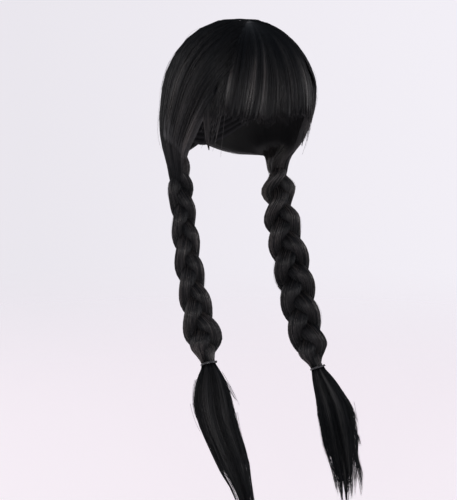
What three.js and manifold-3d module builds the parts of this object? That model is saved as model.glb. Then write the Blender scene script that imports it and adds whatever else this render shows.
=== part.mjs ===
// A pigtail wig: a cap, hair swept to a gather behind each ear, a fringe, a long lock at each temple,
// and two three-strand braids that end in an elastic and a loose tail.
// Millimetres, +Z up. The wearer faces -Y and the wearer's left is +X. The origin is the cap's inner top.

import * as THREE from 'three';
import { mergeVertices } from 'three/addons/utils/BufferGeometryUtils.js';
import Module from 'manifold-3d';

const wasm = await Module();
wasm.setup();

// The gap that neighbouring pieces keep, and the widest turn between two facets of the round skins
const clearance = 0.3;
const facetStep = 16;

// The wearer's head as half sizes of an egg, with its middle at the widest height
const scalp = { breadth: 77, depth: 98, crown: 95, below: 130 };

// The cap that holds the hair, with the rim's height as shares of its depth below the top
const cap = { wall: 1.5, depth: 150, columns: 28, rows: 8 };
const capRim = [
  { azimuth: 0, depth: 0.42 },
  { azimuth: 50, depth: 0.56 },
  { azimuth: 90, depth: 0.74 },
  { azimuth: 120, depth: 0.73 },
  { azimuth: 180, depth: 1 },
];

// How thick the combed hair lies on the cap, how low its outer egg reaches below the head's middle,
// and the shares of its thickness and way over which a sheet's edges are rounded
const hair = { crown: 10.2, side: 12, front: 13, below: 160, thinnest: 1, edge: 0.42, rootRound: 0.04 };

// The start of all parting lines, on top of the head a little in front of the middle
const whorl = { halfWidth: 2, forward: 22 };

// The fringe between the two partings, with its locks from the wearer's right to the left
const fringe = {
  halfAngle: 50, drop: 109, tipThickness: 2.6, thinFrom: 0.3, rows: 7, columnsPerLock: 4,
  grooveDepth: 1.5, grooveAtRoot: 0.3, tipGap: 0.05,
};
const fringeLocks = [
  { width: 1.0, length: 0.955 },
  { width: 1.2, length: 1.0 },
  { width: 1.3, length: 1.03 },
  { width: 1.1, length: 1.035 },
  { width: 1.3, length: 1.02 },
  { width: 1.2, length: 1.0 },
  { width: 1.1, length: 1.01 },
  { width: 1.0, length: 1.03 },
  { width: 0.9, length: 0.99 },
];

// The long thin lock at each temple, with its places as degrees behind the fringe and as shares of its drop
const templeLock = { drop: 144, width: 12, thickness: 2.8, sides: 6 };
const templeLockCourse = [
  { depth: 0.53, behind: 8.5, thickness: 1.22, width: 0.65 },
  { depth: 0.65, behind: 7.2, thickness: 0.9, width: 1 },
  { depth: 0.74, behind: 7.2, thickness: 1, width: 0.85 },
  { depth: 0.82, behind: 7.7, thickness: 0.9, width: 0.6 },
  { depth: 0.92, behind: 8.5, thickness: 0.75, width: 0.42 },
  { depth: 1, behind: 8, thickness: 0.3, width: 0.14 },
];

// The swept hair of one side, whose roots run from the temple to the whorl and down the back parting.
// Shares across the sheet say where the whorl lies and where the temple lock's pocket ends.
// Shares along it say where the sheet starts to narrow into the gather.
const swept = {
  columns: 28, rows: 10, grooves: 7, grooveDepth: 1.6, overhang: 1, gatherFrom: 0.58,
  templeShare: 0.77, frontShare: 0.36, whorlShare: 0.05,
  pocketShare: 0.16, pocketEnd: 0.3, pocketCover: 1.5,
};

// The ring behind each ear in which the swept hair is gathered
const gather = { out: 72, back: 25, depth: 164, halfAcross: 14, halfAlong: 17, openAngle: 12 };

// The braid's outline, with strand swings in strand radii, and the stretch that narrows to the elastic
const braid = { halfWidth: 23, halfThickness: 19.5, pitch: 120, narrowing: 26, sides: 8, stepsPerPitch: 9 };
const braidSwing = { across: 0.85, through: 0.85, bulge: 1.14 };
const braidForm = [
  { down: 0, sizeRight: 0.68, sizeLeft: 0.7 },
  { down: 0.15, sizeRight: 0.68, sizeLeft: 0.95 },
  { down: 0.55, sizeRight: 0.76, sizeLeft: 1.07 },
  { down: 1, sizeRight: 1.07, sizeLeft: 0.95 },
];

// The elastic round each braid's end, wound twice, with the shares of a turn's height where its ridge starts
// and ends and of its wall where two turns meet
const elastic = {
  bore: 18.6, wall: 1.5, height: 3.6, wraps: 2, segments: 14, ridgeFrom: 0.25, ridgeTo: 0.75, waist: 0.5,
};

// Each side's braid and tail, with drop down, lean forward and sway outward in millimetres. A tail's flare is
// the length in which it opens to its full width.
// Facing is the way a braid's flat front looks, in degrees from outward to forward.
const sides = [
  {
    name: 'right', sign: -1, sizeColumn: 'sizeRight', swayColumn: 'swayRight',
    braidDrop: 241, braidLean: 83, braidSway: 8, facingTop: 25, facingEnd: 75, facingShare: 0.31, phase: 12.6,
    tailDrop: 198, tailLean: 83, tailSway: -18, tailHalfWidth: 26, tailHalfThickness: 15, tailFlare: 42,
  },
  {
    name: 'left', sign: 1, sizeColumn: 'sizeLeft', swayColumn: 'swayLeft',
    braidDrop: 263, braidLean: 86, braidSway: 8, facingTop: 58, facingEnd: 119, facingShare: 0.47, phase: 111,
    tailDrop: 158, tailLean: 67, tailSway: 13, tailHalfWidth: 25, tailHalfThickness: 15, tailFlare: 55,
  },
];
const braidCourse = [
  { down: 0, lean: 0, swayRight: 0, swayLeft: 0 },
  { down: 0.05, lean: 0, swayRight: 0, swayLeft: 0 },
  { down: 0.25, lean: 0.13, swayRight: 0.1, swayLeft: -0.3 },
  { down: 0.4, lean: 0.28, swayRight: 0.4, swayLeft: -0.2 },
  { down: 0.57, lean: 0.47, swayRight: 0.75, swayLeft: 0.15 },
  { down: 0.74, lean: 0.67, swayRight: 0.75, swayLeft: 0.1 },
  { down: 0.9, lean: 0.87, swayRight: 0.6, swayLeft: 0.5 },
  { down: 1, lean: 1, swayRight: 0.65, swayLeft: 1 },
];
const tailCourse = [
  { down: 0, lean: 0, swayRight: 0, swayLeft: 0 },
  { down: 0.25, lean: 0.21, swayRight: -0.1, swayLeft: 0.85 },
  { down: 0.65, lean: 0.66, swayRight: 0.6, swayLeft: 0.6 },
  { down: 1, lean: 1, swayRight: 1, swayLeft: 0 },
];
const tailForm = [
  { down: 0, sizeRight: 1, sizeLeft: 1 },
  { down: 0.24, sizeRight: 0.95, sizeLeft: 0.9 },
  { down: 0.55, sizeRight: 0.8, sizeLeft: 0.98 },
  { down: 0.74, sizeRight: 0.58, sizeLeft: 0.84 },
  { down: 1, sizeRight: 0.4, sizeLeft: 0.66 },
];

// The tail's locks round its middle line, fused to a plug that the elastic holds
const tailLock = {
  halfWidth: 0.46, halfThickness: 0.52, bulge: 1.08, tip: 0.06, taperPower: 3, sides: 6, rows: 6,
};
const tailPlug = { length: 7, sides: 8, neck: 0.75 };
const tailLocks = [
  { across: 0, through: 0, length: 1 },
  { across: 0.54, through: 0.1, length: 0.72 },
  { across: 0.3, through: 0.42, length: 0.86 },
  { across: -0.28, through: 0.44, length: 0.93 },
  { across: -0.54, through: -0.05, length: 0.66 },
  { across: -0.26, through: -0.44, length: 0.82 },
  { across: 0.3, through: -0.4, length: 0.95 },
];

const colours = {
  hair: { color: 0x15171a, roughness: 0.4, metalness: 0 },
  cap: { color: 0x1c1c1e, roughness: 0.85, metalness: 0 },
  elastic: { color: 0x8d8f94, roughness: 0.35, metalness: 0 },
};

const down = new THREE.Vector3(0, 0, -1);
const middle = new THREE.Vector3(0, 0, -scalp.crown);
const capSkin = grown(scalp, cap.wall);
const facetSag = scalp.depth * (1 - Math.cos(THREE.MathUtils.degToRad(0.5 * facetStep)));
const hairBed = grown(capSkin, clearance + facetSag);
const hairTop = {
  breadth: hairBed.breadth + hair.side,
  depth: hairBed.depth + hair.front,
  crown: hairBed.crown + hair.crown,
  below: hair.below,
};

// An egg that lies outside another one by the same amount all over
function grown(egg, amount) {
  return {
    breadth: egg.breadth + amount,
    depth: egg.depth + amount,
    crown: egg.crown + amount,
    below: egg.below + amount,
  };
}

// The distance from the head's middle to an egg along a unit direction
function reach(egg, direction) {
  const upright = direction.z > 0 ? egg.crown : egg.below;
  return 1 / Math.hypot(direction.x / egg.breadth, direction.y / egg.depth, direction.z / upright);
}

// The unit direction from the head's middle to an egg's point at an azimuth and a depth below the top
function toward(egg, azimuth, depth) {
  const turn = THREE.MathUtils.degToRad(azimuth);
  const height = scalp.crown - depth;
  const upright = height > 0 ? egg.crown : egg.below;
  const level = Math.sqrt(Math.max(0, 1 - (height / upright) ** 2));
  const round = level / Math.hypot(Math.sin(turn) / egg.breadth, Math.cos(turn) / egg.depth);
  return new THREE.Vector3(round * Math.sin(turn), -round * Math.cos(turn), height).normalize();
}

// The direction at a share of the great arc between two directions
function along(from, to, share) {
  const angle = from.angleTo(to);
  const direction = from.clone().multiplyScalar(Math.sin((1 - share) * angle));
  return direction.addScaledVector(to, Math.sin(share * angle)).normalize();
}

// A table's column at a value of another column, with smooth steps between its rows
function tableAt(table, key, value, column) {
  const next = Math.max(1, table.findIndex((row) => row[key] >= value));
  const before = table[next - 1];
  const after = table[next];
  const share = THREE.MathUtils.smoothstep(value, before[key], after[key]);
  return THREE.MathUtils.lerp(before[column], after[column], share);
}

// A point mirrored to the wearer's right where the sign is -1
function onSide(point, sign) {
  return new THREE.Vector3(sign * point.x, point.y, point.z);
}

// A closed geometry from triangles that share exact corners, turned so that its faces point out
function closedGeometry(triangles) {
  const smallest = 1e-3;
  const real = triangles.filter(([a, b, c]) => (
    a.distanceTo(b) > smallest && b.distanceTo(c) > smallest && c.distanceTo(a) > smallest
  ));
  const volume = real.reduce((sum, [a, b, c]) => sum + a.dot(new THREE.Vector3().crossVectors(b, c)), 0);
  const corners = real.flatMap(([a, b, c]) => (volume > 0 ? [a, b, c] : [a, c, b]));
  const geometry = mergeVertices(new THREE.BufferGeometry().setFromPoints(corners), smallest);
  geometry.computeVertexNormals();
  return geometry;
}

// The two triangles of a four-cornered face
function quad(a, b, c, d) {
  return [[a, b, c], [a, c, d]];
}

// The four corners of a grid's cell, in order round it
function cellOf(grid, row, column) {
  return [grid[row][column], grid[row][column + 1], grid[row + 1][column + 1], grid[row + 1][column]];
}

// A padded sheet between an outer and an inner skin, both given over the same square from 0 to 1
function paddedSheet({ outer, inner, columns, rows, closesOnItself }) {
  const gridOf = (skin) => Array.from({ length: rows + 1 }, (_, row) => (
    Array.from({ length: columns + 1 }, (__, column) => skin(column / columns, row / rows))
  ));
  const top = gridOf(outer);
  const bed = gridOf(inner);
  const faces = [];
  for (let row = 0; row < rows; row += 1) {
    for (let column = 0; column < columns; column += 1) {
      const [near, beside, far, below] = cellOf(bed, row, column);
      faces.push(...quad(...cellOf(top, row, column)));
      faces.push(...quad(near, below, far, beside));
    }
  }
  for (let column = 0; column < columns; column += 1) {
    faces.push(...quad(bed[0][column], bed[0][column + 1], top[0][column + 1], top[0][column]));
    faces.push(...quad(top[rows][column], top[rows][column + 1], bed[rows][column + 1], bed[rows][column]));
  }
  for (let row = 0; row < rows && !closesOnItself; row += 1) {
    faces.push(...quad(top[row][0], top[row + 1][0], bed[row + 1][0], bed[row][0]));
    faces.push(...quad(bed[row][columns], bed[row + 1][columns], top[row + 1][columns], top[row][columns]));
  }
  return closedGeometry(faces);
}

// A solid through loops of equally many points, closed at both ends by a fan round the loop's centre
function loftedLoops(loops) {
  const faces = [];
  const sideCount = loops[0].length;
  for (let row = 0; row + 1 < loops.length; row += 1) {
    for (let side = 0; side < sideCount; side += 1) {
      const next = (side + 1) % sideCount;
      faces.push(...quad(loops[row][side], loops[row][next], loops[row + 1][next], loops[row + 1][side]));
    }
  }
  const first = loops[0];
  const last = loops[loops.length - 1];
  const firstCentre = centreOf(first);
  const lastCentre = centreOf(last);
  for (let side = 0; side < sideCount; side += 1) {
    const next = (side + 1) % sideCount;
    faces.push([firstCentre, first[next], first[side]]);
    faces.push([lastCentre, last[side], last[next]]);
  }
  return closedGeometry(faces);
}

function centreOf(loop) {
  const sum = loop.reduce((total, point) => total.add(point), new THREE.Vector3());
  return sum.divideScalar(loop.length);
}

// One solid joined from several closed geometries
function fused(geometries) {
  const solids = geometries.map((geometry) => new wasm.Manifold(new wasm.Mesh({
    numProp: 3,
    vertProperties: new Float32Array(geometry.getAttribute('position').array),
    triVerts: new Uint32Array(geometry.getIndex().array),
  })));
  const mesh = solids.reduce((whole, solid) => whole.add(solid)).getMesh();
  const joined = new THREE.BufferGeometry();
  joined.setAttribute('position', new THREE.BufferAttribute(mesh.vertProperties, 3));
  joined.setIndex(new THREE.BufferAttribute(mesh.triVerts, 1));
  joined.computeVertexNormals();
  return joined;
}

function namedMesh(name, geometry, look) {
  const mesh = new THREE.Mesh(geometry, new THREE.MeshStandardMaterial(look));
  mesh.name = name;
  return mesh;
}

// The thin cap on the scalp, down to its rim
function capMesh() {
  const skinOf = (egg) => (around, share) => {
    const azimuth = 360 * around;
    const fromFront = Math.min(azimuth, 360 - azimuth);
    const rim = toward(scalp, azimuth % 360, cap.depth * tableAt(capRim, 'azimuth', fromFront, 'depth'));
    const direction = along(down.clone().negate(), rim, share);
    return middle.clone().addScaledVector(direction, reach(egg, direction));
  };
  const geometry = paddedSheet({
    outer: skinOf(capSkin), inner: skinOf(scalp), columns: cap.columns, rows: cap.rows, closesOnItself: true,
  });
  return namedMesh('wig_cap', geometry, colours.cap);
}

// The parting's upper end on the left, moved outward by an offset
function partingTop(offset) {
  return new THREE.Vector3(whorl.halfWidth + offset, -whorl.forward, scalp.crown).normalize();
}

// The parting between fringe and swept hair on the left, at a share of its way down to the fringe's corner
function parting(offset, share) {
  const turn = THREE.MathUtils.radToDeg(offset / scalp.breadth);
  return along(partingTop(offset), toward(hairTop, fringe.halfAngle + turn, fringe.drop), share);
}

// A rounded thinning toward both ends of a share from 0 to 1, later the higher its even power
function roundedEdge(share) {
  const power = 8;
  return Math.sqrt(Math.max(0, 1 - (2 * share - 1) ** power));
}

// Shallow valleys between combed locks, 0 on a lock's ridge and 1 in a valley
function valley(share, count) {
  return 0.5 - 0.5 * Math.cos(2 * Math.PI * share * count);
}

// A point on the gather's ring of the left side, where the outer half faces away from the head
function gatherPoint(share, half) {
  const span = 90 - gather.openAngle;
  const angle = THREE.MathUtils.degToRad(THREE.MathUtils.lerp(-span, span, share));
  return new THREE.Vector3(
    gather.out + half * gather.halfAcross * Math.cos(angle),
    gather.back + gather.halfAlong * Math.sin(angle),
    -gather.depth,
  );
}

// The hair of one side, combed from its parting to the gather
function sweptMesh(side) {
  const nape = toward(hairTop, 180, cap.depth + swept.overhang);
  const root = (across) => {
    if (across < swept.frontShare) {
      return parting(clearance, swept.templeShare * (1 - across / swept.frontShare));
    }
    const backShare = (across - swept.frontShare) / (1 - swept.frontShare);
    const aside = whorl.halfWidth * (1 - THREE.MathUtils.smoothstep(backShare, 0, swept.whorlShare));
    const onLine = along(partingTop(-whorl.halfWidth), nape, backShare);
    return onLine.setX((aside + clearance) / scalp.crown).normalize();
  };
  const skin = (half) => (across, share) => {
    const end = gatherPoint(across, half).sub(middle);
    const direction = along(root(across), end.clone().normalize(), share);
    const bed = reach(hairBed, direction);
    const pad = reach(hairTop, direction) - bed;
    const rounding = roundedEdge(across) * roundedEdge(0.5 * share + hair.rootRound);
    const groove = swept.grooveDepth * valley(across, swept.grooves) * Math.sin(Math.PI * share);
    const tuck = 1 - THREE.MathUtils.smoothstep(across, swept.pocketShare, swept.pocketEnd);
    const pocket = (templeLock.thickness + clearance + facetSag) * tuck;
    const combed = pad * THREE.MathUtils.lerp(hair.edge, 1, rounding) - groove;
    const lift = half > 0 ? Math.max(combed, pocket + swept.pocketCover) : pocket;
    const gathered = THREE.MathUtils.smoothstep(share, swept.gatherFrom, 1);
    const distance = THREE.MathUtils.lerp(bed + lift, end.length(), gathered);
    return onSide(middle.clone().addScaledVector(direction, distance), side.sign);
  };
  const geometry = paddedSheet({ outer: skin(1), inner: skin(-1), columns: swept.columns, rows: swept.rows });
  return namedMesh(`side_hair_${side.name}`, geometry, colours.hair);
}

// The fringe lock at a share across the sheet, with the place inside it and the place across the whole fringe
function fringeLockAt(across) {
  const index = Math.min(Math.floor(across * fringeLocks.length), fringeLocks.length - 1);
  const lock = fringeLocks[index];
  const within = across * fringeLocks.length - index;
  const widthOf = (locks) => locks.reduce((sum, each) => sum + each.width, 0);
  const place = (widthOf(fringeLocks.slice(0, index)) + lock.width * within) / widthOf(fringeLocks);
  return { lock, within, place };
}

// The fringe, whose ridges end in locks of their own width and length
function fringeMesh() {
  const cornerTurn = fringe.halfAngle - THREE.MathUtils.radToDeg(clearance / scalp.breadth);
  const skin = (isOuter) => (across, share) => {
    const { lock, within, place } = fringeLockAt(across);
    const side = 2 * place - 1;
    const ridge = valley(within, 1);
    const top = partingTop(-clearance);
    top.setX(top.x * side).normalize();
    const tip = toward(hairTop, cornerTurn * side, fringe.drop);
    const direction = along(top, tip, share * (lock.length - fringe.tipGap * (1 - ridge) ** 2));
    const bed = reach(hairBed, direction);
    const rounding = roundedEdge(across) * roundedEdge(0.5 * share + hair.rootRound);
    const combed = (reach(hairTop, direction) - bed) * THREE.MathUtils.lerp(hair.edge, 1, rounding);
    const thinned = THREE.MathUtils.smoothstep(share, fringe.thinFrom, 1);
    const grown = THREE.MathUtils.lerp(combed, fringe.tipThickness, thinned);
    const deepening = Math.sin(0.5 * Math.PI * Math.min(1, fringe.grooveAtRoot + share));
    const thickness = Math.max(grown - fringe.grooveDepth * (1 - ridge) * deepening, hair.thinnest);
    return middle.clone().addScaledVector(direction, isOuter ? bed + thickness : bed);
  };
  const columns = fringe.columnsPerLock * fringeLocks.length;
  const geometry = paddedSheet({ outer: skin(true), inner: skin(false), columns, rows: fringe.rows });
  return namedMesh('fringe', geometry, colours.hair);
}

// The long lock at one temple, whose root is tucked between the cap and the swept hair
function templeLockMesh(side) {
  const loops = templeLockCourse.map((row) => {
    const direction = toward(hairBed, fringe.halfAngle + row.behind, templeLock.drop * row.depth);
    const thickness = 0.5 * templeLock.thickness * row.thickness;
    const width = 0.5 * templeLock.width * row.width;
    const centre = middle.clone().addScaledVector(direction, reach(hairBed, direction) + thickness);
    const outward = new THREE.Vector3(direction.x, direction.y, 0).normalize();
    const across = new THREE.Vector3().crossVectors(outward, down);
    return Array.from({ length: templeLock.sides }, (_, index) => {
      const angle = 2 * Math.PI * index / templeLock.sides;
      const point = centre.clone().addScaledVector(across, width * Math.cos(angle));
      return onSide(point.addScaledVector(outward, thickness * Math.sin(angle)), side.sign);
    });
  });
  return namedMesh(`side_lock_${side.name}`, loftedLoops(loops), colours.hair);
}

// The middle line of one side's braid, in the left side's space
function braidLine(side) {
  return new THREE.CatmullRomCurve3(braidCourse.map((row) => new THREE.Vector3(
    gather.out + side.braidSway * row[side.swayColumn],
    gather.back - side.braidLean * row.lean,
    -gather.depth - clearance - side.braidDrop * row.down,
  )));
}

// The middle line of one side's tail, straight on from the braid's end and then along its course
function tailLine(side) {
  const tangent = braidLine(side).getTangentAt(1);
  const start = braidLine(side).getPointAt(1).addScaledVector(tangent, clearance);
  const plugEnd = start.clone().addScaledVector(tangent, tailPlug.length);
  const course = tailCourse.map((row) => plugEnd.clone().add(new THREE.Vector3(
    side.tailSway * row[side.swayColumn],
    -side.tailLean * row.lean,
    -side.tailDrop * row.down,
  )));
  return new THREE.CatmullRomCurve3([start, ...course]);
}

// The section frame at a share of a line, where facing 0 looks out to the side and 90 to the front
function sectionFrame(line, share, facing) {
  const turn = THREE.MathUtils.degToRad(facing);
  const tangent = line.getTangentAt(share);
  const normal = new THREE.Vector3(Math.cos(turn), -Math.sin(turn), 0);
  normal.addScaledVector(tangent, -normal.dot(tangent)).normalize();
  return { centre: line.getPointAt(share), tangent, normal, across: tangent.clone().cross(normal) };
}

// Where a braid faces at a share of its way down
function braidFacing(side, share) {
  const turned = THREE.MathUtils.smoothstep(share, 0, side.facingShare);
  return THREE.MathUtils.lerp(side.facingTop, side.facingEnd, turned);
}

// A strand's centre in a section in strand radii, after a number of turns through the braid
function strandCentre(turns) {
  return new THREE.Vector2(
    braidSwing.across * Math.sin(2 * Math.PI * turns),
    braidSwing.through * Math.sin(4 * Math.PI * turns),
  );
}

// One strand of a braid, which presses into the other two
function strandGeometry(side, strand) {
  const line = braidLine(side);
  const length = line.getLength();
  const steps = Math.ceil(braid.stepsPerPitch * length / braid.pitch);
  const tied = (0.5 * elastic.bore - clearance) / braidSwing.bulge;
  const tiedFrom = length - 0.5 * elastic.height - clearance;
  const loops = Array.from({ length: steps + 1 }, (_, step) => {
    const share = step / steps;
    const { centre, normal, across } = sectionFrame(line, share, braidFacing(side, share));
    const size = tableAt(braidForm, 'down', share, side.sizeColumn);
    const narrowing = THREE.MathUtils.smoothstep(share * length, tiedFrom - braid.narrowing, tiedFrom);
    const halfWidth = THREE.MathUtils.lerp(braid.halfWidth * size, tied, narrowing);
    const halfThickness = THREE.MathUtils.lerp(braid.halfThickness * size, tied, narrowing);
    const middleOfStrand = strandCentre(share * length / braid.pitch + side.phase / 360 + strand / 3);
    return Array.from({ length: braid.sides }, (__, index) => {
      const angle = 2 * Math.PI * index / braid.sides;
      const wide = halfWidth * (middleOfStrand.x + Math.cos(angle)) / (1 + braidSwing.across);
      const deep = halfThickness * (middleOfStrand.y + Math.sin(angle)) / (1 + braidSwing.through);
      return onSide(centre.clone().addScaledVector(across, wide).addScaledVector(normal, deep), side.sign);
    });
  });
  return loftedLoops(loops);
}

function braidMesh(side) {
  const strands = [0, 1, 2].map((strand) => strandGeometry(side, strand));
  return namedMesh(`braid_${side.name}`, fused(strands), colours.hair);
}

// The elastic, a ring with one ridge for each turn that it is wound
function elasticMesh(side) {
  const inner = 0.5 * elastic.bore;
  const turnHeight = elastic.height / elastic.wraps;
  const profile = [new THREE.Vector2(inner, -0.5 * elastic.height)];
  for (let wrap = 0; wrap < elastic.wraps; wrap += 1) {
    const bottom = turnHeight * wrap - 0.5 * elastic.height;
    profile.push(new THREE.Vector2(inner + elastic.wall, bottom + elastic.ridgeFrom * turnHeight));
    profile.push(new THREE.Vector2(inner + elastic.wall, bottom + elastic.ridgeTo * turnHeight));
    profile.push(new THREE.Vector2(inner + elastic.waist * elastic.wall, bottom + turnHeight));
  }
  profile.push(new THREE.Vector2(inner, 0.5 * elastic.height));
  profile.push(profile[0].clone());
  const lathe = mergedLathe(profile);
  const mesh = namedMesh(`elastic_${side.name}`, lathe, colours.elastic);
  const { centre, tangent } = sectionFrame(braidLine(side), 1, side.facingEnd);
  mesh.position.copy(onSide(centre, side.sign));
  mesh.quaternion.setFromUnitVectors(new THREE.Vector3(0, 1, 0), onSide(tangent, side.sign));
  return mesh;
}

// A lathe ring whose first and last profile points are the same
function mergedLathe(profile) {
  const lathe = new THREE.LatheGeometry(profile, elastic.segments);
  lathe.deleteAttribute('normal');
  lathe.deleteAttribute('uv');
  const corners = lathe.toNonIndexed().getAttribute('position');
  const triangles = Array.from({ length: corners.count / 3 }, (_, index) => (
    [0, 1, 2].map((corner) => new THREE.Vector3().fromBufferAttribute(corners, 3 * index + corner))
  ));
  return closedGeometry(triangles);
}

// One lock of a tail, from inside the elastic to its own tip
function tailLockGeometry(side, line, lock) {
  const tied = (0.5 * elastic.bore - clearance) / tailLock.bulge;
  const freeFrom = 0.5 * elastic.height + clearance;
  const boundShare = freeFrom / (lock.length * line.getLength());
  const places = Array.from({ length: tailLock.rows }, (_, row) => row / (tailLock.rows - 1));
  const loops = [0, ...places.map((place) => THREE.MathUtils.lerp(boundShare, 1, place))].map((progress) => {
    const share = lock.length * progress;
    const { centre, normal, across } = sectionFrame(line, share, side.facingEnd);
    const flared = THREE.MathUtils.smoothstep(share * line.getLength(), freeFrom, freeFrom + side.tailFlare);
    const size = tableAt(tailForm, 'down', share, side.sizeColumn);
    const halfWidth = THREE.MathUtils.lerp(tied, side.tailHalfWidth * size, flared);
    const halfThickness = THREE.MathUtils.lerp(tied, side.tailHalfThickness * size, flared);
    const taper = Math.max(tailLock.tip, 1 - progress ** tailLock.taperPower);
    return Array.from({ length: tailLock.sides }, (__, index) => {
      const angle = 2 * Math.PI * index / tailLock.sides;
      const wide = halfWidth * (lock.across + tailLock.halfWidth * taper * Math.cos(angle));
      const deep = halfThickness * (lock.through + tailLock.halfThickness * taper * Math.sin(angle));
      return onSide(centre.clone().addScaledVector(across, wide).addScaledVector(normal, deep), side.sign);
    });
  });
  return loftedLoops(loops);
}

// The bound start of a tail inside the elastic
function tailPlugGeometry(side, line) {
  const radius = 0.5 * elastic.bore - clearance;
  const loops = [0, tailPlug.neck, 1].map((progress) => {
    const share = progress * tailPlug.length / line.getLength();
    const { centre, normal, across } = sectionFrame(line, share, side.facingEnd);
    return Array.from({ length: tailPlug.sides }, (_, index) => {
      const angle = 2 * Math.PI * index / tailPlug.sides;
      const point = centre.clone().addScaledVector(across, radius * Math.cos(angle));
      return onSide(point.addScaledVector(normal, radius * Math.sin(angle)), side.sign);
    });
  });
  return loftedLoops(loops);
}

function tailMesh(side) {
  const line = tailLine(side);
  const locks = tailLocks.map((lock) => tailLockGeometry(side, line, lock));
  return namedMesh(`tail_${side.name}`, fused([tailPlugGeometry(side, line), ...locks]), colours.hair);
}

const group = new THREE.Group();
group.add(capMesh());
group.add(fringeMesh());
for (const side of sides) {
  group.add(sweptMesh(side));
  group.add(templeLockMesh(side));
  group.add(braidMesh(side));
  group.add(elasticMesh(side));
  group.add(tailMesh(side));
}

export default group;
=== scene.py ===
# The looks of a pigtail wig: combed pads of hair under thousands of fine fibres, three-strand braids,
# clear elastics and ragged tails. All sizes are in millimetres until a mesh is made.
# The wearer faces -Y and the wearer's left is +X. The origin is the cap's inner top.

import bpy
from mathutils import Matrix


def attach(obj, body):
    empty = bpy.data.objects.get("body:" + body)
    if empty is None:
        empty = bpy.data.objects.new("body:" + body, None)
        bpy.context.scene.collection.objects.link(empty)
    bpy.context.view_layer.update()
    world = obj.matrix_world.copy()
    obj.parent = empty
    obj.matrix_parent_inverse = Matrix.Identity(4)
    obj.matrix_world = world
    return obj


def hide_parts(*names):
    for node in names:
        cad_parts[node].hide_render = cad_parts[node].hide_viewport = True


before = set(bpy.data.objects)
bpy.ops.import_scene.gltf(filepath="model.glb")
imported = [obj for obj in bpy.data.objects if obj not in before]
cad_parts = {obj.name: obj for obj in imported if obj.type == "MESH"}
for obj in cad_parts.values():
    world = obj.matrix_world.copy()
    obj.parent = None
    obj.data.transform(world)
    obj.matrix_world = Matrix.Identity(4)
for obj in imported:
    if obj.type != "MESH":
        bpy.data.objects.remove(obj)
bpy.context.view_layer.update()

from types import SimpleNamespace as Sizes

import bpy
import numpy as np
from mathutils import Vector

METRES = 0.001
FULL_TURN = 2 * np.pi
PAD_TONE = 0.3

# The same forms as the solids: the head's egg, the hair on it, the partings and the gathers
clearance = 0.3
scalp = Sizes(breadth=77, depth=98, crown=95, below=130)
cap_wall = 1.5
cap_depth = 150
cap_rim = {"azimuth": (0, 50, 90, 120, 180), "depth": (0.42, 0.56, 0.74, 0.73, 1)}
facet_sag = 0.95
hair = Sizes(crown=10.2, side=12, front=13, below=160, edge=0.42, root_round=0.04)
whorl = Sizes(half_width=2, forward=22)
fringe = Sizes(half_angle=50, drop=109, tip_thickness=2.6, thin_from=0.3)
fringe_locks = {
    "width": (1.0, 1.2, 1.3, 1.1, 1.3, 1.2, 1.1, 1.0, 0.9),
    "length": (0.955, 1.0, 1.03, 1.035, 1.02, 1.0, 1.01, 1.03, 0.99),
}
temple = Sizes(drop=144, width=12, thickness=2.8)
temple_course = {
    "share": (0, 0.2, 0.4, 0.6, 0.8, 1),
    "depth": (0.53, 0.65, 0.74, 0.82, 0.92, 1),
    "behind": (8.5, 7.2, 7.2, 7.7, 8.5, 8),
    "thickness": (1.22, 0.9, 1, 0.9, 0.75, 0.3),
    "width": (0.65, 1, 0.85, 0.6, 0.42, 0.14),
}
temple_rise = {"share": (-0.6, -0.3, -0.1, 0.15, 0.35, 0.55), "rise": (1.5, 5, 6.5, 6, 3, 0)}
swept = Sizes(temple_share=0.77, front_share=0.36, whorl_share=0.05, gather_from=0.58)
gather = Sizes(out=72, back=25, depth=164, half_across=14, half_along=17, open_angle=12)

# The braids and tails
braid = Sizes(
    half_width=23, half_thickness=19.5, pitch=120, strands=3, swing=0.85, bulge=1.14,
    narrowing=26, top_size=0.84, swelling=(4, 26),
)
braid_form = {"down": (0, 0.15, 0.55, 1), "right": (0.68, 0.68, 0.76, 1.07), "left": (0.7, 0.95, 1.07, 0.95)}
braid_course = {
    "down": (0, 0.05, 0.25, 0.4, 0.57, 0.74, 0.9, 1),
    "lean": (0, 0, 0.13, 0.28, 0.47, 0.67, 0.87, 1),
    "right": (0, 0, 0.1, 0.4, 0.75, 0.75, 0.6, 0.65),
    "left": (0, 0, -0.3, -0.2, 0.15, 0.1, 0.5, 1),
}
tail_course = {
    "down": (0, 0.25, 0.65, 1),
    "lean": (0, 0.21, 0.66, 1),
    "right": (0, -0.1, 0.6, 1),
    "left": (0, 0.85, 0.6, 0),
}
tail_form = {
    "down": (0, 0.24, 0.55, 0.74, 1),
    "right": (1, 0.95, 0.8, 0.58, 0.4),
    "left": (1, 0.9, 0.98, 0.84, 0.66),
}
elastic = Sizes(bore=18.6, height=3.6)
tail_plug = 7
tail_locks = {
    "across": (0, 0.54, 0.3, -0.28, -0.54, -0.26, 0.3),
    "through": (0, 0.1, 0.42, 0.44, -0.05, -0.44, -0.4),
    "length": (1, 0.72, 0.86, 0.93, 0.66, 0.82, 0.95),
}
tail_lock = Sizes(half_width=0.46, half_thickness=0.52, bulge=1.08)

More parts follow.
